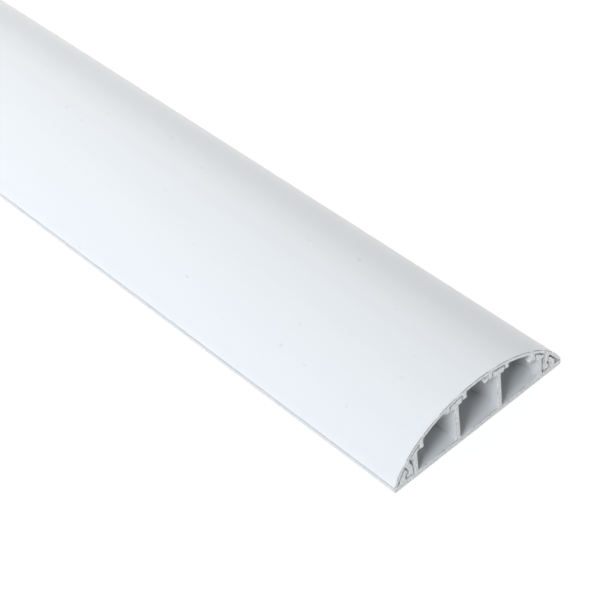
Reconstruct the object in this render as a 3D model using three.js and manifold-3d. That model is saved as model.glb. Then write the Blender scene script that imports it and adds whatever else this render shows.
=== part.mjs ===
// Arched floor cable trunking: a base with two dividers and the cover that snaps onto it.
// Millimetres. X runs along the length, Y across it and Z up. The origin is at the middle of the underside.
import * as THREE from "three";
import { mergeVertices } from "three/addons/utils/BufferGeometryUtils.js";
import Module from "manifold-3d";

// Overall sizes
const LENGTH = 2000;
const WIDTH = 70;
const HEIGHT = 20;

// Arch of the cover: a wide crown arc runs into a tighter haunch arc on each side
const CROWN_END_ANGLE = 29.3; // degrees from upright where the crown arc ends
const EDGE_ANGLE = 61.6; // degrees from upright where the haunch arc meets the base
const CROWN_STEPS = 24;
const HAUNCH_STEPS = 12;

// Walls
const COVER_WALL = 1.2;
const FLOOR = 2;
const DIVIDER_WALL = 1.6;
const POST_WALL = 1.7;

// Air between the two pieces
const FIT_GAP = 0.3;
const HEAD_GAP = 0.4; // over the heads of the dividers
const FOOT_GAP = 0.5; // under the feet of the clip legs

// Edges of the base
const BOTTOM_ROUND = 0.8;
const TOP_ROUND = 0.3;
const SMALL_ROUND = 0.2;
const ROUND_STEPS = 4;

// Dividers and their heads
const MIDDLE_WAY = 15.8; // clear width between the two dividers
const HEAD_OVERHANG = 1.5;
const HEAD_THICKNESS = 2.1;

// Ribs of the cover that stand on both sides of each divider head
const RIB_WALL = 1.6;
const INNER_RIB_DROP = 2.2; // below the underside of the cover
const OUTER_RIB_DROP = 1.5;
const RIB_TOE = 0.3;

// Snap rail near each long edge of the base: an upright post, a pocket and a hooked lip
const RAIL_INSET = 9.9; // from the edge of the base to the inner face of the post
const POCKET_WIDTH = 3.3;
const LIP_THICKNESS = 2.2;
const HOOK_RISE = 2.3; // from the floor of the pocket to the root of the hook
const HOOK_REACH = 0.75;
const HOOK_SLOPE = 0.5; // rise of the hook's underside
const HOOK_NOSE = 0.25;
const LEAD_IN_RISE = 2.4;
const LEAD_IN_RUN = 1.05;

// Head of the post
const POST_LEAN = 0.7; // how far the head leans over the cable way
const POST_TIP = 0.8;
const POST_CURVE = 3;
const FLANGE_THICKNESS = 0.7;

// Clip leg of the cover, which drops into the pocket
const LEG_ROOT = 1.7;
const LEG_SHOULDER = 0.7; // from the roof of the pocket to where the leg starts to widen
const LEG_FLARE = 2.1; // height over which it widens
const LEG_TOE = 0.4;

// Side rib of the cover, beside the head of the post
const SIDE_RIB_WALL = 1.7;
const SIDE_RIB_DROP = 2.2;

const wasm = await Module();
wasm.setup();

const radians = (degrees) => (degrees * Math.PI) / 180;

// Radii of the two arcs, so that the arch has the height and width of the cover and ends at its edge angle
const seam = FLOOR + FIT_GAP;
const crownEnd = radians(CROWN_END_ANGLE);
const edge = radians(EDGE_ANGLE);
const rise = HEIGHT - seam;
const crownRun = Math.sin(crownEnd);
const haunchRun = Math.sin(edge) - Math.sin(crownEnd);
const crownDrop = 1 - Math.cos(crownEnd);
const haunchDrop = Math.cos(crownEnd) - Math.cos(edge);
const spread = crownRun * haunchDrop - haunchRun * crownDrop;
const crownRadius = ((WIDTH / 2) * haunchDrop - haunchRun * rise) / spread;
const haunchRadius = (crownRun * rise - crownDrop * (WIDTH / 2)) / spread;
const crownCentre = new THREE.Vector2(0, HEIGHT - crownRadius);
const haunchCentre = new THREE.Vector2(
  (crownRadius - haunchRadius) * Math.sin(crownEnd),
  crownCentre.y + (crownRadius - haunchRadius) * Math.cos(crownEnd),
);

// Height of the arch at a distance from the middle, at a depth below its outer face
function archHeight(across, depth) {
  const onCrown = across <= (crownRadius - depth) * Math.sin(crownEnd);
  const centre = onCrown ? crownCentre : haunchCentre;
  const radius = (onCrown ? crownRadius : haunchRadius) - depth;
  return centre.y + Math.sqrt(radius ** 2 - (across - centre.x) ** 2);
}

// A section in the YZ plane, drawn as a three.js shape, becomes a solid as long as the trunking
function extruded(section) {
  const geometry = new THREE.ExtrudeGeometry(section, { depth: LENGTH, bevelEnabled: false });
  const lengthwise = new THREE.Matrix4().makeBasis(
    new THREE.Vector3(0, 1, 0),
    new THREE.Vector3(0, 0, 1),
    new THREE.Vector3(1, 0, 0),
  );
  geometry.applyMatrix4(lengthwise).translate(-LENGTH / 2, 0, 0);
  geometry.deleteAttribute("normal");
  geometry.deleteAttribute("uv");
  const merged = mergeVertices(geometry, 1e-4);
  return new wasm.Manifold(
    new wasm.Mesh({
      numProp: 3,
      vertProperties: merged.attributes.position.array,
      triVerts: new Uint32Array(merged.index.array),
    }),
  );
}

// Points along a curve that leaves one place and arrives at another, both pointing at the corner
function bend(start, corner, end) {
  const curve = new THREE.QuadraticBezierCurve(
    new THREE.Vector2(...start),
    new THREE.Vector2(...corner),
    new THREE.Vector2(...end),
  );
  return curve.getPoints(ROUND_STEPS).map((point) => point.toArray());
}

// Corners given as [across, up, rounding], joined by straight lines and rounded where a corner says so
function outline(corners) {
  const at = (i) => new THREE.Vector2(...corners[(i + corners.length) % corners.length]);
  const points = corners.flatMap(([across, up, rounding = 0], i) => {
    if (rounding === 0) return [[across, up]];
    const corner = at(i);
    const before = at(i - 1).sub(corner);
    const after = at(i + 1).sub(corner);
    const cut = Math.min(rounding, before.length() / 2, after.length() / 2);
    const start = before.setLength(cut).add(corner).toArray();
    const end = after.setLength(cut).add(corner).toArray();
    return bend(start, [across, up], end);
  });
  return new THREE.Shape(points.map((point) => new THREE.Vector2(...point)));
}

// The same corners on the other side of the middle
function mirrored(corners) {
  return corners.map(([across, ...rest]) => [-across, ...rest]);
}

function onBothSides(corners) {
  return extruded(outline(corners)).add(extruded(outline(mirrored(corners))));
}

// Everything between the ground and the arch at a depth below its outer face
function underArch(depth) {
  const reach = (radius, centre, angle) => [
    centre.x + (radius - depth) * Math.sin(angle),
    centre.y + (radius - depth) * Math.cos(angle),
  ];
  const half = [];
  for (let i = 0; i <= CROWN_STEPS; i++) {
    half.push(reach(crownRadius, crownCentre, (crownEnd * i) / CROWN_STEPS));
  }
  for (let i = 1; i <= HAUNCH_STEPS; i++) {
    const angle = crownEnd + ((edge - crownEnd) * i) / HAUNCH_STEPS;
    half.push(reach(haunchRadius, haunchCentre, angle));
  }
  // Past its last point the arch runs straight on to the ground
  const [lastAcross, lastUp] = half[half.length - 1];
  half.push([lastAcross + lastUp / Math.tan(edge), 0]);
  return extruded(outline([...mirrored(half.slice(1)).reverse(), ...half]));
}

// Places that the two pieces share
const ceiling = COVER_WALL + FIT_GAP;
const dividerFace = MIDDLE_WAY / 2;
const headInner = dividerFace - HEAD_OVERHANG;
const headOuter = dividerFace + DIVIDER_WALL + HEAD_OVERHANG;
const postInner = WIDTH / 2 - RAIL_INSET;
const postTip = postInner - POST_LEAN;
const pocketInner = postInner + POST_WALL;
const pocketOuter = pocketInner + POCKET_WIDTH;
const footInner = pocketInner + FIT_GAP;
const footOuter = pocketOuter - FIT_GAP;
const legInner = footOuter - LEG_ROOT;
const flangeEnd = legInner - FIT_GAP;
const pocketRoof = archHeight(flangeEnd, ceiling) - FLANGE_THICKNESS;
const hookNose = pocketOuter - HOOK_REACH;
const hookRoot = FLOOR + HOOK_RISE;
const hookUnder = hookRoot + HOOK_SLOPE;
const hookOver = hookUnder + HOOK_NOSE;

function floorPlate() {
  const half = WIDTH / 2;
  const corners = [
    [-half, 0, BOTTOM_ROUND],
    [half, 0, BOTTOM_ROUND],
    [half, FLOOR, TOP_ROUND],
    [-half, FLOOR, TOP_ROUND],
  ];
  return extruded(outline(corners));
}

// Upright walls between the cable ways, each with a head that follows the cover
function dividers() {
  const walls = onBothSides([
    [dividerFace, FLOOR / 2],
    [dividerFace + DIVIDER_WALL, FLOOR / 2],
    [dividerFace + DIVIDER_WALL, HEIGHT],
    [dividerFace, HEIGHT],
  ]);
  const heads = onBothSides([
    [headInner, FLOOR],
    [headOuter, FLOOR],
    [headOuter, HEIGHT],
    [headInner, HEIGHT],
  ]);
  const top = COVER_WALL + HEAD_GAP;
  const headsOnly = heads.subtract(underArch(top + HEAD_THICKNESS));
  return walls.add(headsOnly).intersect(underArch(top));
}

// Post on the inner side of each pocket: its head leans over the cable way and roofs the pocket
function posts() {
  const tipUnder = archHeight(postTip, ceiling) - POST_TIP;
  const leanStart = tipUnder - POST_CURVE;
  const corners = [
    [pocketInner, FLOOR / 2],
    [pocketInner, pocketRoof, SMALL_ROUND],
    [flangeEnd, pocketRoof, SMALL_ROUND],
    [flangeEnd, HEIGHT],
    [postTip, HEIGHT],
    ...bend([postTip, tipUnder], [postInner, tipUnder - POST_LEAN], [postInner, leanStart]),
    [postInner, FLOOR / 2],
  ];
  return onBothSides(corners).intersect(underArch(ceiling));
}

// Lip on the outer side of each pocket, with the hook that holds the clip leg down
function lips() {
  const corners = [
    [pocketOuter, FLOOR / 2],
    [pocketOuter, hookRoot],
    [hookNose, hookUnder, SMALL_ROUND],
    [hookNose, hookOver, SMALL_ROUND],
    [hookNose + LEAD_IN_RUN, hookOver + LEAD_IN_RISE],
    [hookNose + LEAD_IN_RUN, HEIGHT],
    [pocketOuter + LIP_THICKNESS, HEIGHT],
    [pocketOuter + LIP_THICKNESS, FLOOR / 2],
  ];
  return onBothSides(corners).intersect(underArch(ceiling));
}

// Arched wall of the cover, cut level just above the base
function shell() {
  const belowSeam = onBothSides([
    [0, 0],
    [WIDTH, 0],
    [WIDTH, seam],
    [0, seam],
  ]);
  return underArch(0).subtract(underArch(COVER_WALL)).subtract(belowSeam);
}

// A rib between two distances from the middle, hanging down from the shell, with an optional toe inwards
function ribCorners(inner, outer, drop, toe = 0) {
  const bottom = archHeight(Math.max(inner, outer), COVER_WALL) - drop;
  return [
    [inner, HEIGHT],
    [outer, HEIGHT],
    [outer, bottom, SMALL_ROUND],
    [inner - toe, bottom, SMALL_ROUND],
    [inner, bottom + 2 * toe],
  ];
}

// Ribs that stand beside the heads of the dividers and of the posts
function ribs() {
  const headInnerRib = ribCorners(headInner - FIT_GAP - RIB_WALL, headInner - FIT_GAP, INNER_RIB_DROP, RIB_TOE);
  const headOuterRib = ribCorners(headOuter + FIT_GAP, headOuter + FIT_GAP + RIB_WALL, OUTER_RIB_DROP);
  const sideRib = ribCorners(postTip - FIT_GAP - SIDE_RIB_WALL, postTip - FIT_GAP, SIDE_RIB_DROP);
  return [headInnerRib, headOuterRib, sideRib].map(onBothSides);
}

// Legs that drop into the pockets: the barb of each catches under the hook of the lip
function clipLegs() {
  const foot = FLOOR + FOOT_GAP;
  const shoulder = pocketRoof - LEG_SHOULDER;
  const neck = hookNose - FIT_GAP;
  return onBothSides([
    [legInner, HEIGHT],
    [legInner, shoulder],
    [footInner, shoulder - LEG_FLARE, SMALL_ROUND],
    [footInner, foot, LEG_TOE],
    [footOuter, foot, LEG_TOE],
    [footOuter, hookRoot - FIT_GAP, SMALL_ROUND],
    [neck, hookUnder - FIT_GAP],
    [neck, hookOver],
    [neck + LEAD_IN_RUN, hookOver + LEAD_IN_RISE],
    [neck + LEAD_IN_RUN, HEIGHT],
  ]);
}

function base() {
  return wasm.Manifold.union([floorPlate(), dividers(), posts(), lips()]);
}

// The ribs and legs are rooted halfway into the wall of the shell
function cover() {
  const roots = underArch(COVER_WALL / 2);
  const hanging = wasm.Manifold.union([...ribs(), clipLegs()]).intersect(roots);
  return shell().add(hanging);
}

function meshOf(name, solid, material) {
  const { vertProperties, triVerts } = solid.getMesh();
  const geometry = new THREE.BufferGeometry();
  geometry.setAttribute("position", new THREE.BufferAttribute(vertProperties, 3));
  geometry.setIndex(new THREE.BufferAttribute(triVerts, 1));
  geometry.computeVertexNormals();
  const mesh = new THREE.Mesh(geometry, material);
  mesh.name = name;
  return mesh;
}

const basePlastic = new THREE.MeshStandardMaterial({ color: 0xdcdee3, roughness: 0.5, metalness: 0 });
const coverPlastic = new THREE.MeshStandardMaterial({ color: 0xe8ecf1, roughness: 0.4, metalness: 0 });

const trunking = new THREE.Group();
trunking.add(meshOf("base", base(), basePlastic));
trunking.add(meshOf("cover", cover(), coverPlastic));

export default trunking;
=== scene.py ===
"""Half-round cable trunking: the looks of its base, cover and sawn ends, and the studio."""

import math

import bpy
from mathutils import Matrix, Vector
from mathutils.geometry import intersect_line_line_2d, intersect_point_line


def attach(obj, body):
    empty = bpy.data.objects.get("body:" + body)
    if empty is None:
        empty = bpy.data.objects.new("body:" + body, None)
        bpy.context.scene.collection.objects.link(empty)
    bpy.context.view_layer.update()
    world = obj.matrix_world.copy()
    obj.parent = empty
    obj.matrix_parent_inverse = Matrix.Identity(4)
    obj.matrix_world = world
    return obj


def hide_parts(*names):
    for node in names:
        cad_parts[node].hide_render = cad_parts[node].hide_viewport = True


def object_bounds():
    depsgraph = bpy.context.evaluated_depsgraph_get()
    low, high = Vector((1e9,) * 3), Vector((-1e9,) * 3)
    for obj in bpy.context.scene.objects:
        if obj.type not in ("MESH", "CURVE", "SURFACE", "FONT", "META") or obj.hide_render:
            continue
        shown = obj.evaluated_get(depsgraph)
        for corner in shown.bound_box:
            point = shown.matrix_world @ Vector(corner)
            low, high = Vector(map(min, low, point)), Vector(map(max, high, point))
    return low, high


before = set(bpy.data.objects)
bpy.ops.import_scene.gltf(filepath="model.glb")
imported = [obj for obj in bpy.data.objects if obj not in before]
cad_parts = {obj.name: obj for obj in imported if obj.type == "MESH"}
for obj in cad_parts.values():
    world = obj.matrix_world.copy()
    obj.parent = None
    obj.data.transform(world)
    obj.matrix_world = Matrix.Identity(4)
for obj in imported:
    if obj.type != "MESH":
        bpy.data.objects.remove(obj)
CAD_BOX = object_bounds()

bl_info = {
    "name": "Cable trunking",
    "version": (1, 0, 0),
    "blender": (4, 5, 0),
    "location": "3D View > Sidebar > Trunking",
    "description": "Dresses a half-round cable trunking: base, arched cover, sawn ends and studio",
    "category": "Object",
}

NEAR_END = CAD_BOX[1].x  # the sawn end that the photograph shows
FAR_END = CAD_BOX[0].x
LENGTH = NEAR_END - FAR_END

SHARP_TURN = math.radians(28)  # an outline corner that turns further than this is rounded
CORNER_STEPS = 4  # steps in a rounded corner
CORNER_ROOM = 0.4  # the share of the shorter side beside a corner that its rounding may take
HOLDING_MARGIN = 0.00025  # metres from a corner to the point that keeps its flat flat
SHORTEST_HELD = 4 * HOLDING_MARGIN  # a shorter run of outline gets no such points
HELD_TURN = math.radians(4)  # the least turn beside which a run of outline gets such a point
KEPT_SHARE = 0.3  # the least share of its length that a step of a drawn-in outline keeps
TIGHT_ROUNDS = 16  # times that a depth too great for a tight bend is lessened
TIGHT_SPAN = 12  # steps along an outline within which a drawn-in bend could cross itself
LESSENED = 0.7  # what each such time leaves of the depth
SHORTEST_STEP = 0.00005  # metres; outline points closer than this count as one
NARROW_GAP = 0.0007  # metres; less than this between the base and the cover is a fitting gap
FULL_EASE = 0.5  # the share of NARROW_GAP at which a fitting gap is eased back in full
OUTLINE_DIGITS = 7  # decimals of a metre that outline points are told apart by
END_MARGIN = 1e-6  # metres within which a point counts as at the sawn end
MERGE_DISTANCE = 2e-7  # metres within which the points of a sawn face and of the sides are one
FITS_INTO = {"base": "cover", "cover": "base"}

RAY_DEPTH = 0.0005  # metres behind the sawn face at which the room beside a burr is measured
RAY_LIFT = END_MARGIN * 10  # metres off the plastic at which the ray that measures it starts
LONGEST_ROOM = 0.03  # metres that this ray looks for the next wall
CORNER_COURSES = (0.9, 0.2)  # likeness of the outline's courses at a flat, and at a corner
CLUSTER_NOISE = (0.34, 0.5)  # noise at which a cluster of burrs begins, and at which it is full
BURR_SIZES = (0.2, 1.0)  # least and greatest share of its full size that a burr has
BURR_STRETCHES = ((0.5, 0.7, 0.7), (0.95, 2.0, 1.0))  # least and greatest stretch of a burr
BURR_SUNK = 0.3  # the share of its reach by which a burr is sunk into the plastic
BURR_SEEDS = {"base": 11, "cover": 21}
OTHER_SEED = 100.0  # added to a seed for a second row of draws
REACH = "reach"  # the attribute that holds how far a burr reaches
OUTWARD = "outward"  # the outline's attribute that holds the way out of the plastic


# ---------------------------------------------------------------------------------------------
# Sizes and colours that a user would change
# ---------------------------------------------------------------------------------------------


class TrunkingExtrusionSettings(bpy.types.PropertyGroup):
    """How the two lengths of plastic are drawn out and sawn off."""

    rings: bpy.props.IntProperty(
        name="Rings", description="Outlines set along the length", default=61, min=5
    )
    crowding: bpy.props.FloatProperty(
        name="Crowding", description="How closely the rings crowd towards the ends", default=3.0
    )
    outer_round: bpy.props.FloatProperty(
        name="Outer corner", description="Radius on a corner that sticks out",
        default=0.0002, unit="LENGTH",
    )
    hollow_round: bpy.props.FloatProperty(
        name="Inner corner", description="Radius in a corner that goes in",
        default=0.0003, unit="LENGTH",
    )
    saw_chamfer: bpy.props.FloatProperty(
        name="Sawn edge", description="Width of the edge that the saw leaves",
        default=0.00012, unit="LENGTH",
    )
    gap_ease: bpy.props.FloatProperty(
        name="Gap ease", description="How far each side of a fitting gap is eased back",
        default=0.0001, unit="LENGTH",
    )
    burr_spacing: bpy.props.FloatProperty(
        name="Burr spacing", description="Distance between burr spots on a sawn edge",
        default=0.0004, unit="LENGTH",
    )
    burr_share: bpy.props.FloatProperty(
        name="Burrs", description="Share of the spots that hold a burr",
        default=0.75, subtype="FACTOR",
    )
    burr_size: bpy.props.FloatProperty(
        name="Burr size", description="How far the largest burr stands out",
        default=0.0019, unit="LENGTH",
    )


class TrunkingPlasticSettings(bpy.types.PropertyGroup):
    """The finish of the plastic."""

    cover_color: bpy.props.FloatVectorProperty(
        name="Cover", description="Colour of the arched cover", subtype="COLOR", size=4,
        default=(0.868, 0.893, 0.92, 1.0),
    )
    base_color: bpy.props.FloatVectorProperty(
        name="Base", description="Colour of the flat base", subtype="COLOR", size=4,
        default=(0.848, 0.857, 0.868, 1.0),
    )
    cut_color: bpy.props.FloatVectorProperty(
        name="Cut", description="Colour of a sawn face", subtype="COLOR", size=4,
        default=(0.862, 0.864, 0.862, 1.0),
    )
    # painted shade: the dark line along the cover's sawn edge, with pale torn patches on it
    cover_rim_color: bpy.props.FloatVectorProperty(
        name="Cover's rim", description="Colour of the scuffed rim of the cover's sawn face",
        subtype="COLOR", size=4, default=(0.3, 0.3, 0.3, 1.0),
    )
    # painted shade: the darker line along the base's sawn edge, with pale torn patches on it
    base_rim_color: bpy.props.FloatVectorProperty(
        name="Base's rim", description="Colour of the scuffed rim of the base's sawn face",
        subtype="COLOR", size=4, default=(0.46, 0.46, 0.45, 1.0),
    )
    burr_color: bpy.props.FloatVectorProperty(
        name="Burrs", description="Colour of the torn plastic on a sawn edge",
        subtype="COLOR", size=4, default=(0.96, 0.95, 0.925, 1.0),
    )
    # the specks' colour is also the colour of the painted shade on the base's long edges
    speck_and_shade_color: bpy.props.FloatVectorProperty(
        name="Specks", description="Colour of the specks in the surface", subtype="COLOR", size=4,
        default=(0.42, 0.43, 0.45, 1.0),
    )
    line_depth: bpy.props.FloatProperty(
        name="Die lines", description="Depth of the lines that the die leaves",
        default=0.000012, unit="LENGTH",
    )
    saw_depth: bpy.props.FloatProperty(
        name="Saw marks", description="Depth of the marks on a sawn face",
        default=0.00006, unit="LENGTH",
    )


class TrunkingStudioSettings(bpy.types.PropertyGroup):
    """The camera, the floor and the lights."""

    camera_place: bpy.props.FloatVectorProperty(
        name="Camera", description="Where the camera stands", subtype="TRANSLATION", unit="LENGTH",
        default=(1.262386, -0.249260, 0.398896),
    )
    azimuth: bpy.props.FloatProperty(
        name="Azimuth", description="Way round the trunking",
        subtype="ANGLE", default=math.radians(53.8888),
    )
    elevation: bpy.props.FloatProperty(
        name="Elevation", description="Height above the floor",
        subtype="ANGLE", default=math.radians(43.2501),
    )
    roll: bpy.props.FloatProperty(
        name="Roll", description="Tilt of the picture",
        subtype="ANGLE", default=math.radians(-8.5279),
    )
    lens: bpy.props.FloatProperty(
        name="Lens", description="Focal length in millimetres", default=109.343
    )
    floor_size: bpy.props.FloatProperty(
        name="Floor", description="Width of the floor", default=120.0, unit="LENGTH"
    )
    floor_color: bpy.props.FloatVectorProperty(
        name="Floor colour", description="Colour of the floor", subtype="COLOR", size=4,
        default=(0.92, 0.92, 0.92, 1.0),
    )
    floor_shown: bpy.props.FloatVectorProperty(
        name="Floor shown", description="Colour that the floor shows by the lamps' light",
        subtype="COLOR", size=4, default=(0.2, 0.2, 0.2, 1.0),
    )
    floor_glow: bpy.props.FloatProperty(
        name="Floor glow", description="Light that the backlit floor gives", default=0.408
    )
    floor_wash: bpy.props.FloatProperty(
        name="Floor wash", description="How much brighter the floor shows than it lights",
        default=0.472,
    )
    wall_wash: bpy.props.FloatProperty(
        name="Wall wash", description="How much brighter the room shows than it lights",
        default=0.95,
    )
    room_light: bpy.props.FloatProperty(
        name="Room light", description="Strength of the even light from all round", default=0.01
    )


SETTINGS = {
    "trunking_extrusion": TrunkingExtrusionSettings,
    "trunking_plastic": TrunkingPlasticSettings,
    "trunking_studio": TrunkingStudioSettings,
}


# ---------------------------------------------------------------------------------------------
# Node trees
# ---------------------------------------------------------------------------------------------


def in_use(sockets, key):
    """The socket of this number, or the one of this name that the node uses as it is set."""
    if isinstance(key, int):
        return sockets[key]
    return next(socket for socket in sockets if socket.name == key and socket.enabled)


class Nodes:
    """Puts nodes into a tree and joins them."""

    def __init__(self, tree):
        self.tree = tree

    def add(self, kind, inputs=None, **settings):
        """A new node. inputs holds a value or a node's socket for each input name or number."""
        node = self.tree.nodes.new(kind)
        for name, value in settings.items():
            setattr(node, name, value)
        for key, value in (inputs or {}).items():
            socket = in_use(node.inputs, key)
            if isinstance(value, bpy.types.NodeSocket):
                self.tree.links.new(value, socket)
            else:
                socket.default_value = value
        return node

    def out(self, kind, inputs=None, **settings):
        """The first output of a new node."""
        return self.add(kind, inputs, **settings).outputs[0]

    def vector(self, *values):
        """A vector socket made of one to three numbers or sockets."""
        return self.out("ShaderNodeCombineXYZ", dict(enumerate(values)))

    def parts(self, vector):
        """The X, Y and Z of a vector socket."""
        return self.add("ShaderNodeSeparateXYZ", {0: vector}).outputs

    def math(self, operation, *values):
        """The result of one sum on numbers or sockets."""
        return self.out("ShaderNodeMath", dict(enumerate(values)), operation=operation)

    def blend(self, share, first, second):
        """A colour between two others."""
        inputs = {"Factor": share, "A": first, "B": second}
        return in_use(self.add("ShaderNodeMix", inputs, data_type="RGBA").outputs, "Result")

    def weighed(self, first, second, share):
        """The sum of two numbers, of which the second has this share and the first the rest."""
        rest = self.math("MULTIPLY", first, 1.0 - share)
        return self.math("ADD", rest, self.math("MULTIPLY", second, share))

    def random(self, data_type, **inputs):
        """A random value for each point."""
        node = self.add("FunctionNodeRandomValue", inputs, data_type=data_type)
        return in_use(node.outputs, "Value")

    def scaled(self, vector, factor):
        """A vector times a number."""
        return self.out("ShaderNodeVectorMath", {0: vector, "Scale": factor}, operation="SCALE")

    def on_vectors(self, operation, first, second):
        """The vector that one sum on two vectors gives."""
        return self.out("ShaderNodeVectorMath", {0: first, 1: second}, operation=operation)

    def attribute(self, name, data_type):
        """What a named attribute holds at each point."""
        return self.out("GeometryNodeInputNamedAttribute", {"Name": name}, data_type=data_type)

    def noise(self, place, scale, detail):
        """A noise between 0 and 1."""
        inputs = {"Vector": place, "Scale": scale, "Detail": detail}
        return self.add("ShaderNodeTexNoise", inputs).outputs["Fac"]

    def joined(self, *geometries):
        """Several geometries as one."""
        node = self.add("GeometryNodeJoinGeometry")
        for geometry in geometries:
            self.tree.links.new(geometry, node.inputs[0])
        return node.outputs[0]

    def ranged(self, value, low, high, to_low=0.0, to_high=1.0):
        """A number carried from one range to another and kept inside it."""
        span = {"From Min": low, "From Max": high, "To Min": to_low, "To Max": to_high}
        return self.out("ShaderNodeMapRange", {"Value": value, **span})


def new_tree(name, kind, inputs, outputs):
    """The Nodes of a new node group, and the sockets by which its inputs arrive. An input or
    output is a name with a default number or with a type."""
    tree = bpy.data.node_groups.new(name, kind)
    for label, given in inputs.items():
        socket_type = "NodeSocket" + {str: given, int: "Int", float: "Float"}[type(given)]
        socket = tree.interface.new_socket(label, in_out="INPUT", socket_type=socket_type)
        if not isinstance(given, str):
            socket.default_value = given
    for label, socket_type in outputs.items():
        tree.interface.new_socket(label, in_out="OUTPUT", socket_type="NodeSocket" + socket_type)
    nodes = Nodes(tree)
    return nodes, nodes.add("NodeGroupInput").outputs


def shared_group(name, make):
    """The node group of this name, made the first time that it is asked for."""
    return bpy.data.node_groups.get(name) or make()


def swept_section_tree():
    """Sweeps a section outline along the trunking's length and closes both ends. The rings crowd
    towards the ends, where the light changes most, and the last one is drawn in to a sawn edge."""
    n, given = new_tree(
        "Swept section",
        "GeometryNodeTree",
        {
            "Outline": "Geometry",
            "Length": LENGTH,
            "Rings": 61,
            "Crowding": 3.0,
            "Sawn edge": 0.00012,
            "Skin": "Material",
            "Rim shade": "Material",
            "Sawn face": "Material",
        },
        {"Geometry": "Geometry"},
    )
    # the path from one end to the other
    edge = given["Sawn edge"]
    half = n.math("MULTIPLY", given["Length"], 0.5)
    step = n.math("DIVIDE", 2.0, n.math("SUBTRACT", given["Rings"], 1.0))
    line = n.out(
        "GeometryNodeMeshLine",
        {"Count": given["Rings"], "Start Location": (-1.0, 0.0, 0.0), "Offset": n.vector(step)},
        mode="OFFSET",
    )
    along = n.parts(n.out("GeometryNodeInputPosition"))["X"]
    share = n.math("POWER", n.math("SUBTRACT", 1.0, n.math("ABSOLUTE", along)), given["Crowding"])
    from_end = n.math("MULTIPLY", share, half)
    inside = n.math("GREATER_THAN", from_end, 0.0)
    from_end = n.math("MULTIPLY", n.math("MAXIMUM", from_end, edge), inside)
    reach = n.math("MULTIPLY", n.math("SUBTRACT", half, from_end), n.math("SIGN", along))
    placed = n.out("GeometryNodeSetPosition", {"Geometry": line, "Position": n.vector(reach)})
    path = n.out("GeometryNodeMeshToCurve", {"Mesh": placed})
    profile = n.out("GeometryNodeMeshToCurve", {"Mesh": given["Outline"]})
    swept = n.out("GeometryNodeCurveToMesh", {"Curve": path, "Profile Curve": profile})

    # the sides, with a last ring that is drawn in and painted shade on the strip that it makes
    outward = n.attribute(OUTWARD, "FLOAT_VECTOR")
    place = n.parts(n.out("GeometryNodeInputPosition"))
    from_middle = n.math("ABSOLUTE", place["X"])
    at_end = n.math("GREATER_THAN", from_middle, n.math("SUBTRACT", half, END_MARGIN))
    inward = n.scaled(outward, n.math("MULTIPLY", edge, -1.0))
    drawn = {"Geometry": swept, "Selection": at_end, "Offset": inward}
    sides = n.out("GeometryNodeSetPosition", drawn)
    sides = n.out("GeometryNodeSetShadeSmooth", {"Geometry": sides, "Shade Smooth": True})
    sides = n.out("GeometryNodeSetMaterial", {"Geometry": sides, "Material": given["Skin"]})
    # the strip drawn in at each end takes the rim material: painted shade with pale torn patches
    on_edge = n.math("GREATER_THAN", from_middle, n.math("SUBTRACT", half, edge))
    torn = {"Geometry": sides, "Selection": on_edge, "Material": given["Rim shade"]}
    sides = n.out("GeometryNodeSetMaterial", torn)

    # the sawn faces
    facing = n.parts(outward)
    smaller_by = n.vector(*(n.math("MULTIPLY", facing[axis], edge) for axis in "YZ"))
    smaller = n.out("GeometryNodeSetPosition", {"Geometry": profile, "Offset": smaller_by})
    filled = n.out("GeometryNodeFillCurve", {"Curve": smaller})
    across, up = (n.math("MULTIPLY", place[axis], -1.0) for axis in "XY")
    caps = []
    for side in (1.0, -1.0):
        on_face = n.vector(n.math("MULTIPLY", half, side), across, up)
        stood = n.out("GeometryNodeSetPosition", {"Geometry": filled, "Position": on_face})
        if side < 0:
            stood = n.out("GeometryNodeFlipFaces", {"Mesh": stood})
        caps.append(stood)
    ends = n.joined(*caps)
    ends = n.out("GeometryNodeSetShadeSmooth", {"Geometry": ends, "Shade Smooth": False})
    ends = n.out("GeometryNodeSetMaterial", {"Geometry": ends, "Material": given["Sawn face"]})

    whole = n.joined(ends, sides)
    merged = n.out("GeometryNodeMergeByDistance", {"Geometry": whole, "Distance": MERGE_DISTANCE})
    real = n.out("GeometryNodeRealizeInstances", {"Geometry": merged})
    n.add("NodeGroupOutput", {"Geometry": real})
    return n.tree


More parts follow.
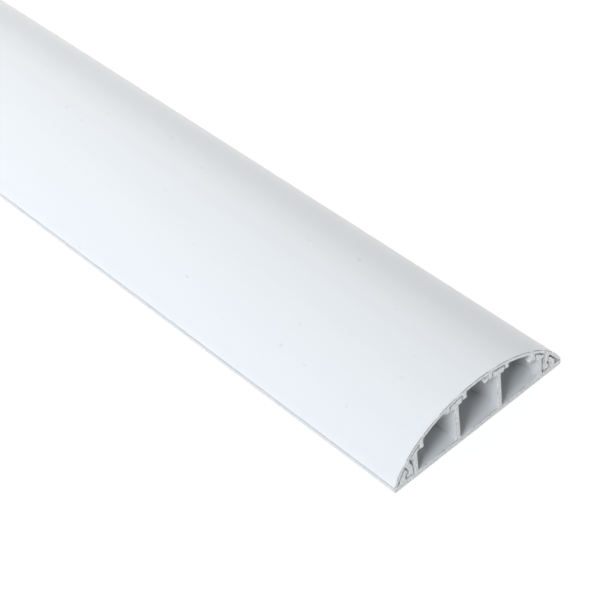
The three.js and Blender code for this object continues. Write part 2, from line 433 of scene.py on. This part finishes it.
def saw_burrs_tree():
    """Small lumps of torn plastic along a sawn outline. A ray out of the plastic finds the room
    before the next wall. A lump keeps to its share of it, and where there is no wall there is no
    lump."""
    n, given = new_tree(
        "Saw burrs",
        "GeometryNodeTree",
        {
            "Outline": "Geometry",
            "End": NEAR_END,
            "Spacing": 0.0004,
            "Clusters per metre": 220.0,
            "Share on flats": 0.12,
            "Share of spots": 0.75,
            "Smallest": 0.00008,
            "Largest": 0.0019,
            "Share of room": 0.18,
            "Seed": 1,
            "Base": "Object",
            "Cover": "Object",
            "Material": "Material",
        },
        {"Geometry": "Geometry"},
    )
    # spots along the outline, and how sharply it turns there
    place = n.out("GeometryNodeInputPosition")
    flat = n.parts(place)
    outward = n.attribute(OUTWARD, "FLOAT_VECTOR")
    across, up = (n.math("MULTIPLY", flat[axis], -1.0) for axis in "XY")
    on_face = n.vector(given["End"], across, up)
    curve = n.out("GeometryNodeMeshToCurve", {"Mesh": given["Outline"]})
    stood = n.out("GeometryNodeSetPosition", {"Geometry": curve, "Position": on_face})
    spacing = {"Curve": stood, "Length": given["Spacing"]}
    spaced = n.out("GeometryNodeResampleCurve", spacing, mode="LENGTH")
    spots = n.add("GeometryNodeCurveToPoints", {"Curve": spaced}, mode="EVALUATED")
    number = n.out("GeometryNodeInputIndex")
    course = []
    for step in (-1.0, 1.0):
        beside = n.out(
            "GeometryNodeFieldAtIndex",
            {"Value": spots.outputs["Tangent"], "Index": n.math("ADD", number, step)},
            data_type="FLOAT_VECTOR",
        )
        course.append(beside)
    along = n.add("ShaderNodeVectorMath", {0: course[0], 1: course[1]}, operation="DOT_PRODUCT")
    corner = n.ranged(along.outputs["Value"], *CORNER_COURSES)

    # the room before the next wall
    walls = [
        n.add("GeometryNodeObjectInfo", {"Object": given[piece]}).outputs["Geometry"]
        for piece in ("Base", "Cover")
    ]
    toward = n.math("MULTIPLY", n.math("SIGN", given["End"]), -1.0)
    lifted = n.on_vectors("ADD", place, n.scaled(outward, RAY_LIFT))
    set_back = n.vector(n.math("MULTIPLY", toward, RAY_DEPTH))
    ray = n.add(
        "GeometryNodeRaycast",
        {
            "Target Geometry": n.joined(*walls),
            "Source Position": n.on_vectors("ADD", lifted, set_back),
            "Ray Direction": outward,
            "Ray Length": LONGEST_ROOM,
        },
    )

    # how far each lump reaches
    least, greatest = BURR_SIZES
    size = n.random("FLOAT", Min=least, Max=greatest, Seed=given["Seed"])
    clusters = n.out(
        "ShaderNodeTexNoise",
        {"Vector": place, "W": given["Seed"], "Scale": given["Clusters per metre"], "Detail": 0.0},
        noise_dimensions="4D",
    )
    crowd = n.math("MULTIPLY", size, n.ranged(clusters, *CLUSTER_NOISE))
    thick = n.math("MULTIPLY", crowd, n.math("MAXIMUM", corner, given["Share on flats"]))
    spread = n.math("SUBTRACT", given["Largest"], given["Smallest"])
    wanted = n.math("MULTIPLY_ADD", thick, spread, given["Smallest"])
    clear = n.math("MULTIPLY", ray.outputs["Hit Distance"], ray.outputs["Is Hit"])
    room = n.math("MULTIPLY", clear, given["Share of room"])
    sized = n.out(
        "GeometryNodeStoreNamedAttribute",
        {"Geometry": spots.outputs[0], "Name": REACH, "Value": n.math("MINIMUM", wanted, room)},
        data_type="FLOAT",
    )
    reach = n.attribute(REACH, "FLOAT")

    # the lumps, half behind the sawn face and a little inside the plastic
    other_seed = n.math("ADD", given["Seed"], OTHER_SEED)
    chance = n.random("BOOLEAN", Probability=given["Share of spots"], Seed=other_seed)
    has_room = n.math("GREATER_THAN", reach, 0.0)
    chosen = n.out("FunctionNodeBooleanMath", {0: chance, 1: has_room}, operation="AND")
    sunk = n.scaled(outward, n.math("MULTIPLY", reach, -BURR_SUNK))
    behind = n.vector(n.math("MULTIPLY", toward, reach))
    moved = n.on_vectors("ADD", sunk, behind)
    placed = n.out("GeometryNodeSetPosition", {"Geometry": sized, "Offset": moved})
    lump = n.out("GeometryNodeMeshIcoSphere", {"Radius": 1.0, "Subdivisions": 1})
    turned = n.out(
        "FunctionNodeAxesToRotation",
        {"Primary Axis": outward, "Secondary Axis": (1.0, 0.0, 0.0)},
        primary_axis="Z",
        secondary_axis="X",
    )
    least, greatest = BURR_STRETCHES
    stretch = n.random("FLOAT_VECTOR", Min=least, Max=greatest, Seed=other_seed)
    lumps = n.out(
        "GeometryNodeInstanceOnPoints",
        {
            "Points": placed,
            "Selection": chosen,
            "Instance": lump,
            "Rotation": turned,
            "Scale": n.scaled(stretch, reach),
        },
    )
    real = n.out("GeometryNodeRealizeInstances", {"Geometry": lumps})
    dressed = n.out("GeometryNodeSetMaterial", {"Geometry": real, "Material": given["Material"]})
    n.add("NodeGroupOutput", {"Geometry": dressed})
    return n.tree


def set_inputs(modifier, values):
    """Sets a Geometry Nodes modifier's inputs, given by their names, through their identifiers."""
    items = modifier.node_group.interface.items_tree
    sockets = {item.name: item.identifier for item in items if item.in_out == "INPUT"}
    for name, value in values.items():
        modifier[sockets[name]] = value


# ---------------------------------------------------------------------------------------------
# Section outlines
# ---------------------------------------------------------------------------------------------


def cut_outline(node):
    """The (y, z) outline of a CAD node's near end, anticlockwise as seen from beyond that end."""
    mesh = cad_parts[node].data
    edges = set()
    for face in mesh.polygons:
        corners = [mesh.vertices[i].co for i in face.vertices]
        if min(c.x for c in corners) < NEAR_END - END_MARGIN:
            continue
        places = [(round(c.y, OUTLINE_DIGITS), round(c.z, OUTLINE_DIGITS)) for c in corners]
        for start, end in zip(places, places[1:] + places[:1]):
            if (end, start) in edges:
                edges.remove((end, start))
            else:
                edges.add((start, end))
    following = dict(edges)
    start = min(following)
    outline = [start]
    while following[outline[-1]] != start:
        outline.append(following[outline[-1]])
    if len(outline) != len(edges):
        raise RuntimeError(f"the end of {node} isn't one closed outline")
    return [Vector(p) for p in outline]


def without_crumbs(outline):
    """The outline without the points that all but touch the one before."""
    kept = [outline[0]]
    for point in outline[1:]:
        if (point - kept[-1]).length > SHORTEST_STEP:
            kept.append(point)
    return kept


def distance_to(outline, point):
    """How far a point is from the nearest place on a closed outline."""
    nearest = []
    for start, end in zip(outline, outline[1:] + outline[:1]):
        place, share = intersect_point_line(point, start, end)
        nearest.append((start.lerp(end, min(max(share, 0.0), 1.0)) - point).length)
    return min(nearest)


def outward_at(outline, i):
    """The direction across the outline that looks out of the plastic at one of its points."""
    along = outline[(i + 1) % len(outline)] - outline[i - 1]
    return Vector((along.y, -along.x)).normalized()


def tight_places(outline, moved):
    """The numbers of the points whose steps turned back or crossed each other when moved."""
    count = len(outline)
    tight = set()
    for i in range(count):
        after = (i + 1) % count
        step = outline[after] - outline[i]
        if (moved[after] - moved[i]).dot(step) < KEPT_SHARE * step.length_squared:
            tight.update((i, after))
        for j in range(i + 2, i + TIGHT_SPAN):
            start, end = moved[j % count], moved[(j + 1) % count]
            if intersect_line_line_2d(moved[i], moved[after], start, end):
                tight.update(k % count for k in range(i, j + 2))
    return tight


def drawn_in(outline, depths):
    """The outline moved into the plastic by these depths, or by less where it bends tightly."""
    depths = list(depths)
    for _ in range(TIGHT_ROUNDS):
        moved = [point - outward_at(outline, i) * depths[i] for i, point in enumerate(outline)]
        tight = tight_places(outline, moved)
        if not tight:
            break
        for i in tight:
            depths[i] *= LESSENED
    return moved


def with_eased_gaps(outline, other, ease):
    """The outline drawn back a little wherever the other piece fits closely against it."""
    rooms = [distance_to(other, point) / NARROW_GAP for point in outline]
    shares = [min(max((1.0 - room) / (1.0 - FULL_EASE), 0.0), 1.0) for room in rooms]
    return drawn_in(outline, [ease * share for share in shares])


def turn_at(before, corner, after):
    """The angle by which an outline turns at a corner, positive on a corner that sticks out."""
    a, b = corner - before, after - corner
    return math.atan2(a.cross(b), a.dot(b))


def with_rounded_corners(outline, outer, hollow):
    """The outline with its sharp corners rounded, outward and inward ones by their own radius."""
    rounded = []
    for i, corner in enumerate(outline):
        before, after = outline[i - 1], outline[(i + 1) % len(outline)]
        turn = turn_at(before, corner, after)
        if abs(turn) < SHARP_TURN:
            rounded.append(corner)
            continue
        radius = outer if turn > 0 else hollow
        room = CORNER_ROOM * min((corner - before).length, (after - corner).length)
        reach = min(radius * math.tan(abs(turn) / 2), room)
        first = corner + (before - corner).normalized() * reach
        last = corner + (after - corner).normalized() * reach
        for k in range(CORNER_STEPS + 1):
            t = k / CORNER_STEPS
            rounded.append(first * (1 - t) ** 2 + corner * (2 * t * (1 - t)) + last * t * t)
    return rounded


def with_holding_points(outline):
    """The outline with a point close to each end of a straight run, so that flats look flat."""
    count = len(outline)
    turns = [
        abs(turn_at(outline[i - 1], corner, outline[(i + 1) % count]))
        for i, corner in enumerate(outline)
    ]
    held = []
    for i, start in enumerate(outline):
        end = outline[(i + 1) % count]
        held.append(start)
        if (end - start).length < SHORTEST_HELD:
            continue
        margin = (end - start).normalized() * HOLDING_MARGIN
        if turns[i] > HELD_TURN:
            held.append(start + margin)
        if turns[(i + 1) % count] > HELD_TURN:
            held.append(end - margin)
    return held


def outline_object(name, outline, edge):
    """An object whose mesh is a closed outline. Each point holds the way out of the plastic, at
    full length where there is room to draw the outline in by the sawn edge. The sweep lays its X
    along -Y and its Y along -Z."""
    mesh = bpy.data.meshes.new(name)
    count = len(outline)
    edges = [(i, (i + 1) % count) for i in range(count)]
    mesh.from_pydata([(-p.x, -p.y, 0.0) for p in outline], edges, [])
    outward = mesh.attributes.new(OUTWARD, "FLOAT_VECTOR", "POINT")
    for i, inner in enumerate(drawn_in(outline, [edge] * count)):
        way = (outline[i] - inner) / edge
        outward.data[i].vector = (0.0, way.x, way.y)
    obj = bpy.data.objects.new(name, mesh)
    bpy.context.collection.objects.link(obj)
    return obj


def settled(obj, name):
    """A plain object with the evaluated mesh of another one, which is then deleted."""
    bpy.context.view_layer.update()
    evaluated = obj.evaluated_get(bpy.context.evaluated_depsgraph_get())
    mesh = bpy.data.meshes.new_from_object(evaluated)
    mesh.name = name
    for slot in reversed(range(len(mesh.materials))):
        if mesh.materials[slot] is None:
            mesh.materials.pop(index=slot)
    bpy.data.objects.remove(obj)
    piece = bpy.data.objects.new(name, mesh)
    bpy.context.collection.objects.link(piece)
    return piece


def section_object(node):
    """The finished section outline of a CAD node, as an object for the trees to work on."""
    settings = bpy.context.scene.trunking_extrusion
    outline = without_crumbs(cut_outline(node))
    outline = with_rounded_corners(outline, settings.outer_round, settings.hollow_round)
    outline = with_holding_points(outline)
    outline = with_eased_gaps(outline, cut_outline(FITS_INTO[node]), settings.gap_ease)
    return outline_object(node + "_section", outline, settings.saw_chamfer)


def extruded_piece(name, node):
    """The length of plastic that replaces a CAD node, drawn from the node's own section."""
    settings = bpy.context.scene.trunking_extrusion
    obj = section_object(node)
    sweep = obj.modifiers.new("Sweep", "NODES")
    sweep.node_group = shared_group("Swept section", swept_section_tree)
    set_inputs(
        sweep,
        {
            "Length": LENGTH,
            "Rings": settings.rings,
            "Crowding": settings.crowding,
            "Sawn edge": settings.saw_chamfer,
            "Skin": finishes()[node],
            "Rim shade": finishes()[node + "_rim"],
            "Sawn face": finishes()["cut"],
        },
    )
    piece = settled(obj, name)
    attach(piece, node)
    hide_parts(node)


def burred_end(node, end, seed):
    """The burrs along one sawn end of a body, as a plain object."""
    settings = bpy.context.scene.trunking_extrusion
    obj = section_object(node)
    burrs = obj.modifiers.new("Burrs", "NODES")
    burrs.node_group = shared_group("Saw burrs", saw_burrs_tree)
    set_inputs(
        burrs,
        {
            "End": end,
            "Spacing": settings.burr_spacing,
            "Share of spots": settings.burr_share,
            "Largest": settings.burr_size,
            "Seed": seed,
            "Base": bpy.data.objects["base_profile"],
            "Cover": bpy.data.objects["cover_profile"],
            "Material": finishes()["burr"],
        },
    )
    return settled(obj, f"{node}_burrs_{seed}")


def saw_burrs(node):
    """The burrs on both sawn ends of a body, as one piece that rides on it."""
    seed = BURR_SEEDS[node]
    near, far = burred_end(node, NEAR_END, seed), burred_end(node, FAR_END, seed + 1)
    with bpy.context.temp_override(active_object=near, selected_editable_objects=[near, far]):
        bpy.ops.object.join()
    near.name = near.data.name = node + "_saw_burrs"
    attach(near, node)


# ---------------------------------------------------------------------------------------------
# Materials
# ---------------------------------------------------------------------------------------------

NOISE_MIDDLE = (0.3, 0.7)  # the part of a noise's range that is used

BROAD_SHARE = 0.65  # the broad die lines' share of the lines' height
LINE_TONE = 0.985  # the share of its colour that the plastic keeps in a die line
LINE_GLOSS = 0.03  # how much rougher or smoother the die lines make it

SPECK_CELLS = (0.6, 0.7)  # shares of X and of height in the plane that the specks' cells lie in
SPECK_EDGE = 0.6  # the share of a speck's width at which it begins to fade
LEAST_WIDTH = 0.3  # added to a speck's random width
LEAST_SPECK = 0.2  # the faintest speck's strength
SPECK_STRENGTH = 0.2  # how much of their colour the specks show
EDGE_SHADE_STRENGTH = 0.34  # how strongly the painted shade darkens the base's long edges

COVER_ROUGHNESS, BASE_ROUGHNESS, SAWN_ROUGHNESS, FLOOR_ROUGHNESS = 0.42, 0.44, 0.62, 0.9

SAW_SLANT = math.radians(24)  # the saw's lines from the upright
SAW_STRETCH = (0.1, 1.0, 0.08)  # shares of X, Y and Z that the lines' noise is drawn with
TORN_SHARE = 0.4  # the torn spots' share of the saw marks' height
TORN_NOISE = (0.36, 0.56)  # noise at which a torn spot begins, and at which it is full
TORN_TONES = (0.72, 1.14)  # a sawn face's darkest and palest tone, as shares of its colour
PALEST = 0.94  # the palest that any part of a toned colour gets
PATCHES_PER_METRE = 210.0
PATCH_NOISE = (0.5, 0.6)  # noise at which a torn patch of a rim begins, and at which it is full


def die_lines_group():
    """Fine and broad lines along X, as an extrusion die draws them, with a slow change of tone."""
    n, given = new_tree(
        "Die lines",
        "ShaderNodeTree",
        {
            "Place": "Vector",
            "Fine lines per metre": 1800.0,
            "Broad lines per metre": 240.0,
            "Changes per metre": 0.6,
        },
        {"Height": "Float", "Tone": "Float"},
    )
    lines = []
    for spacing in ("Fine lines per metre", "Broad lines per metre"):
        across = given[spacing]
        scale = n.vector(given["Changes per metre"], across, across)
        drawn = n.on_vectors("MULTIPLY", given["Place"], scale)
        lines.append(n.noise(drawn, 1.0, 2.0))
    n.add("NodeGroupOutput", {"Height": n.weighed(*lines, BROAD_SHARE), "Tone": lines[1]})
    return n.tree


def specks_group():
    """Small scattered specks of uneven size and strength."""
    n, given = new_tree(
        "Specks",
        "ShaderNodeTree",
        {
            "Place": "Vector",
            "Cells per metre": 72.0,
            "Share of cells": 0.75,
            "Width in cells": 0.034,
        },
        {"Mask": "Float"},
    )
    place = n.parts(given["Place"])
    along = n.math("MULTIPLY", place["X"], SPECK_CELLS[0])
    across = n.math("MULTIPLY_ADD", place["Z"], SPECK_CELLS[1], place["Y"])
    cells = n.add(
        "ShaderNodeTexVoronoi",
        {"Vector": n.vector(along, across), "Scale": given["Cells per metre"], "Randomness": 1.0},
        voronoi_dimensions="2D",
    )
    chance = n.add("ShaderNodeSeparateColor", {0: cells.outputs["Color"]}).outputs
    chosen = n.math("LESS_THAN", chance["Red"], given["Share of cells"])
    size = n.math("ADD", chance["Green"], LEAST_WIDTH)
    width = n.math("MULTIPLY", given["Width in cells"], size)
    edge = n.math("DIVIDE", cells.outputs["Distance"], width)
    inside = n.ranged(edge, SPECK_EDGE, 1.0, 1.0, 0.0)
    strength = n.ranged(chance["Blue"], 0.0, 1.0, LEAST_SPECK, 1.0)
    mask = n.math("MULTIPLY", n.math("MULTIPLY", inside, chosen), strength)
    n.add("NodeGroupOutput", {"Mask": mask})
    return n.tree


def painted_edge_shade_group():
    """Painted shade: the strip along each long edge, by the floor, darkened for the seam's shade.
    """
    n, given = new_tree(
        "Painted edge shade",
        "ShaderNodeTree",
        {
            "Place": "Vector",
            "From the middle": 0.0336,
            "Height": 0.0022,
            "Fade": 0.0004,
        },
        {"Mask": "Float"},
    )
    place = n.parts(given["Place"])
    outer = n.math("SUBTRACT", n.math("ABSOLUTE", place["Y"]), given["From the middle"])
    low = n.math("SUBTRACT", given["Height"], place["Z"])
    inside = n.math("MINIMUM", *(n.math("DIVIDE", depth, given["Fade"]) for depth in (outer, low)))
    n.add("NodeGroupOutput", {"Mask": n.ranged(inside, 0.0, 1.0)})
    return n.tree


def saw_marks_group():
    """The marks of a saw blade on a sawn face: close lines on a slant, torn here and there."""
    n, given = new_tree(
        "Saw marks",
        "ShaderNodeTree",
        {
            "Place": "Vector",
            "Lines per metre": 1400.0,
            "Torn spots per metre": 1800.0,
        },
        {"Height": "Float", "Torn": "Float"},
    )
    slanted = n.out("ShaderNodeMapping", {"Vector": given["Place"], "Rotation": (SAW_SLANT, 0, 0)})
    stretched = n.on_vectors("MULTIPLY", slanted, SAW_STRETCH)
    lines = n.noise(stretched, given["Lines per metre"], 1.0)
    torn = n.noise(given["Place"], given["Torn spots per metre"], 3.0)
    n.add("NodeGroupOutput", {"Height": n.weighed(lines, torn, TORN_SHARE), "Torn": torn})
    return n.tree


def group_node(nodes, name, make, place):
    """The outputs of a shared group that is placed in a material."""
    tree = shared_group(name, make)
    return nodes.add("ShaderNodeGroup", {"Place": place}, node_tree=tree).outputs


def new_material(name):
    """A material with nothing but a Principled shader, its Nodes and that shader."""
    material = bpy.data.materials.new(name)
    material.use_nodes = True
    nodes = Nodes(material.node_tree)
    shader = material.node_tree.nodes["Principled BSDF"]
    return material, nodes, shader


def toned(color, share):
    """A colour made darker or paler, but not past the palest tone."""
    return tuple(min(share * channel, PALEST) for channel in color[:3]) + (1.0,)


def wire(nodes, shader, height, depth, links):
    """Gives a Principled shader a bump of this height and depth, and its other linked inputs."""
    bump = nodes.out("ShaderNodeBump", {"Height": height, "Distance": depth, "Strength": 1.0})
    for socket, value in {**links, "Normal": bump}.items():
        nodes.tree.links.new(value, shader.inputs[socket])


def plastic_skin(name, color, roughness, edge_shade=0.0):
    """Extruded white plastic: satin, with fine die lines, a few specks and, if asked, painted edge
    shade.
    """
    settings = bpy.context.scene.trunking_plastic
    material, nodes, shader = new_material(name)
    place = nodes.add("ShaderNodeTexCoord").outputs["Object"]
    lines = group_node(nodes, "Die lines", die_lines_group, place)
    specks = group_node(nodes, "Specks", specks_group, place)
    darker = toned(color, LINE_TONE)
    shown = nodes.blend(nodes.ranged(lines["Tone"], *NOISE_MIDDLE), darker, tuple(color))
    masks = [(specks, SPECK_STRENGTH)]
    # painted shade: the base's long edges are darkened towards the speck colour
    if edge_shade:
        masks.append((group_node(nodes, "Painted edge shade", painted_edge_shade_group, place), edge_shade))
    for group, strength in masks:
        share = nodes.math("MULTIPLY", group["Mask"], strength)
        shown = nodes.blend(share, shown, tuple(settings.speck_and_shade_color))
    smooth, rough = roughness - LINE_GLOSS, roughness + LINE_GLOSS
    gloss = nodes.ranged(lines["Height"], *NOISE_MIDDLE, smooth, rough)
    links = {"Base Color": shown, "Roughness": gloss}
    wire(nodes, shader, lines["Height"], settings.line_depth, links)
    return material


def sawn_plastic(name, color, torn_color=None):
    """The plastic where the saw went through it: dull and scored, with torn patches if asked."""
    settings = bpy.context.scene.trunking_plastic
    material, nodes, shader = new_material(name)
    place = nodes.add("ShaderNodeTexCoord").outputs["Object"]
    marks = group_node(nodes, "Saw marks", saw_marks_group, place)
    darker, paler = (toned(color, share) for share in TORN_TONES)
    shown = nodes.blend(nodes.ranged(marks["Torn"], *TORN_NOISE), darker, paler)
    if torn_color is not None:
        patches = nodes.ranged(nodes.noise(place, PATCHES_PER_METRE, 2.0), *PATCH_NOISE)
        shown = nodes.blend(patches, shown, tuple(torn_color))
    wire(nodes, shader, marks["Height"], settings.saw_depth, {"Base Color": shown})
    shader.inputs["Roughness"].default_value = SAWN_ROUGHNESS
    return material


def made_once(name, make, *values):
    """The material of this name, made the first time that it is asked for."""
    return bpy.data.materials.get(name) or make(name, *values)


def finishes():
    """The trunking's materials by what they are for."""
    plastic = bpy.context.scene.trunking_plastic
    torn = plastic.burr_color
    # the base's skin gets painted shade along its long edges
    base = (plastic.base_color, BASE_ROUGHNESS, EDGE_SHADE_STRENGTH)
    return {
        "cover": made_once("cover_skin", plastic_skin, plastic.cover_color, COVER_ROUGHNESS),
        "base": made_once("base_skin", plastic_skin, *base),
        "cut": made_once("sawn_plastic", sawn_plastic, plastic.cut_color),
        "burr": made_once("burr_plastic", sawn_plastic, torn),
        # the rims: painted shade, a dark line along each sawn edge, with pale torn patches
        "cover_rim": made_once("cover_rim", sawn_plastic, plastic.cover_rim_color, torn),
        "base_rim": made_once("base_rim", sawn_plastic, plastic.base_rim_color, torn),
    }


# ---------------------------------------------------------------------------------------------
# Studio
# ---------------------------------------------------------------------------------------------

SENSOR_WIDTH = 36.0  # millimetres
CLIP_RANGE = (0.01, 500.0)  # metres
NARROW_SPREAD = 30  # degrees
WHITE, COOL, WARM = (1.0, 1.0, 1.0), (0.91, 0.962, 1.0), (1.0, 0.975, 0.945)

# Each light's target along the trunking, side and height in degrees, distance, width, height,
# power, tint and the angle that it spreads over. The last four light the slid-out cover.
SOFT_LIGHTS = {
    "front_light": (1.0, 20, 45, 2.5, 0.8, 0.8, 34.2, COOL),
    "front_strip": (-0.15, 0, 40, 1.0, 1.8, 0.4, 3.9, WHITE),
    "top_strip": (-0.15, 0, 80, 1.0, 1.8, 0.4, 5.3, WHITE),
    "back_strip": (-0.15, 180, 50, 1.2, 2.0, 1.2, 10.8, WARM),
    "back_light": (0.9, 180, 50, 1.2, 1.4, 1.4, 2.35, WHITE),
    "far_strip": (-2.1, 0, 50, 1.0, 1.8, 0.4, 6.0, WHITE),
    "far_back_strip": (-2.1, 180, 50, 1.0, 1.8, 0.4, 6.0, WHITE),
    "near_strip": (2.2, 0, 50, 1.0, 1.6, 0.3, 0.7, WHITE, NARROW_SPREAD),
    "near_back_strip": (2.2, 180, 50, 1.0, 1.6, 0.3, 0.5, WHITE, NARROW_SPREAD),
}


def facing_matrix(azimuth, elevation, roll=0.0):
    """The turn of a camera or light that looks at the trunking from this side and height."""
    back = Vector(
        (
            math.sin(azimuth) * math.cos(elevation),
            -math.cos(azimuth) * math.cos(elevation),
            math.sin(elevation),
        )
    )
    right = Vector((math.cos(azimuth), math.sin(azimuth), 0.0))
    up = back.cross(right)
    tilted_right = right * math.cos(roll) + up * math.sin(roll)
    tilted_up = up * math.cos(roll) - right * math.sin(roll)
    return Matrix((tilted_right, tilted_up, back)).transposed().to_4x4()


def soft_light(name, target, azimuth, elevation, distance, width, height, power, tint, spread=180):
    """A large soft light that looks at a point along the trunking."""
    light = bpy.data.lights.new(name, "AREA")
    light.shape = "RECTANGLE"
    light.size = width
    light.size_y = height
    light.energy = power
    light.spread = math.radians(spread)
    light.color = tint
    turn = facing_matrix(math.radians(azimuth), math.radians(elevation))
    back = turn.to_3x3() @ Vector((0, 0, 1))
    obj = bpy.data.objects.new(name, light)
    obj.matrix_world = Matrix.Translation(Vector((target, 0, 0)) + back * distance) @ turn
    obj.visible_camera = False
    bpy.context.collection.objects.link(obj)


def seen_brighter(nodes, shader, socket, wash, light):
    """Sets a shader's strength to light, and to wash more where the camera looks straight at it.
    Gives the socket that says whether it does."""
    seen = nodes.add("ShaderNodeLightPath").outputs["Is Camera Ray"]
    nodes.tree.links.new(nodes.math("MULTIPLY_ADD", seen, wash, light), shader.inputs[socket])
    return seen


def studio_floor(studio):
    """The pale, backlit floor."""
    half = studio.floor_size / 2
    mesh = bpy.data.meshes.new("studio_floor")
    corners = [(-half, -half, 0), (half, -half, 0), (half, half, 0), (-half, half, 0)]
    mesh.from_pydata(corners, [], [(0, 1, 2, 3)])
    floor = bpy.data.objects.new("studio_floor", mesh)
    bpy.context.collection.objects.link(floor)
    material, nodes, shader = new_material("studio_floor")
    shader.inputs["Roughness"].default_value = FLOOR_ROUGHNESS
    shader.inputs["Specular IOR Level"].default_value = 0.0
    shader.inputs["Emission Color"].default_value = (1, 1, 1, 1)
    seen = seen_brighter(nodes, shader, "Emission Strength", studio.floor_wash, studio.floor_glow)
    color = nodes.blend(seen, tuple(studio.floor_color), tuple(studio.floor_shown))
    nodes.tree.links.new(color, shader.inputs["Base Color"])
    mesh.materials.append(material)


def studio_room(studio):
    """The white room round the trunking."""
    world = bpy.data.worlds.new("studio")
    world.use_nodes = True
    nodes = Nodes(world.node_tree)
    background = world.node_tree.nodes["Background"]
    background.inputs["Color"].default_value = (1, 1, 1, 1)
    seen_brighter(nodes, background, "Strength", studio.wall_wash, studio.room_light)
    bpy.context.scene.world = world


def studio_camera(studio):
    """The camera, which sees the trunking as the photograph does."""
    scene = bpy.context.scene
    lens = bpy.data.cameras.new("camera")
    lens.lens = studio.lens
    lens.sensor_width = SENSOR_WIDTH
    lens.clip_start, lens.clip_end = CLIP_RANGE
    camera = bpy.data.objects.new("camera", lens)
    turn = facing_matrix(studio.azimuth, studio.elevation, studio.roll)
    camera.matrix_world = Matrix.Translation(studio.camera_place) @ turn
    scene.collection.objects.link(camera)
    scene.camera = camera
    scene.view_settings.view_transform = "Standard"
    scene.view_settings.look = "None"


# ---------------------------------------------------------------------------------------------
# Operators
# ---------------------------------------------------------------------------------------------


class TRUNKING_OT_base(bpy.types.Operator):
    """Makes the flat base with its dividers, posts and pockets."""

    bl_idname = "trunking.make_base"
    bl_label = "Flat base"

    def execute(self, context):
        extruded_piece("base_profile", "base")
        return {"FINISHED"}


class TRUNKING_OT_cover(bpy.types.Operator):
    """Makes the arched cover with its ribs and clip legs."""

    bl_idname = "trunking.make_cover"
    bl_label = "Arched cover"

    def execute(self, context):
        extruded_piece("cover_profile", "cover")
        return {"FINISHED"}


class TRUNKING_OT_burrs(bpy.types.Operator):
    """Makes the burrs that the saw left on both ends of the base and the cover."""

    bl_idname = "trunking.make_burrs"
    bl_label = "Saw burrs"

    def execute(self, context):
        for node in BURR_SEEDS:
            saw_burrs(node)
        return {"FINISHED"}


class TRUNKING_OT_stage(bpy.types.Operator):
    """Makes the pale floor, the soft studio light and the camera."""

    bl_idname = "trunking.make_stage"
    bl_label = "Floor, lights and camera"

    def execute(self, context):
        studio = context.scene.trunking_studio
        studio_floor(studio)
        studio_room(studio)
        for name, light in SOFT_LIGHTS.items():
            soft_light(name, *light)
        studio_camera(studio)
        return {"FINISHED"}


OPERATORS = (TRUNKING_OT_stage, TRUNKING_OT_base, TRUNKING_OT_cover, TRUNKING_OT_burrs)


class TRUNKING_PT_sidebar(bpy.types.Panel):
    """Lists the trunking's pieces."""

    bl_idname = "TRUNKING_PT_sidebar"
    bl_label = "Cable trunking"
    bl_space_type = "VIEW_3D"
    bl_region_type = "UI"
    bl_category = "Trunking"

    def draw(self, context):
        for operator in OPERATORS:
            self.layout.operator(operator.bl_idname)


def register():
    """Registers the settings, the operators and the panel."""
    for name, settings in SETTINGS.items():
        bpy.utils.register_class(settings)
        setattr(bpy.types.Scene, name, bpy.props.PointerProperty(type=settings))
    for operator in OPERATORS:
        bpy.utils.register_class(operator)
    bpy.utils.register_class(TRUNKING_PT_sidebar)


def unregister():
    """Takes back what register() did."""
    bpy.utils.unregister_class(TRUNKING_PT_sidebar)
    for operator in reversed(OPERATORS):
        bpy.utils.unregister_class(operator)
    for name, settings in SETTINGS.items():
        delattr(bpy.types.Scene, name)
        bpy.utils.unregister_class(settings)


def main():
    register()
    bpy.ops.trunking.make_stage()
    bpy.ops.trunking.make_base()
    bpy.ops.trunking.make_cover()
    bpy.ops.trunking.make_burrs()


if __name__ == "__main__":
    main()
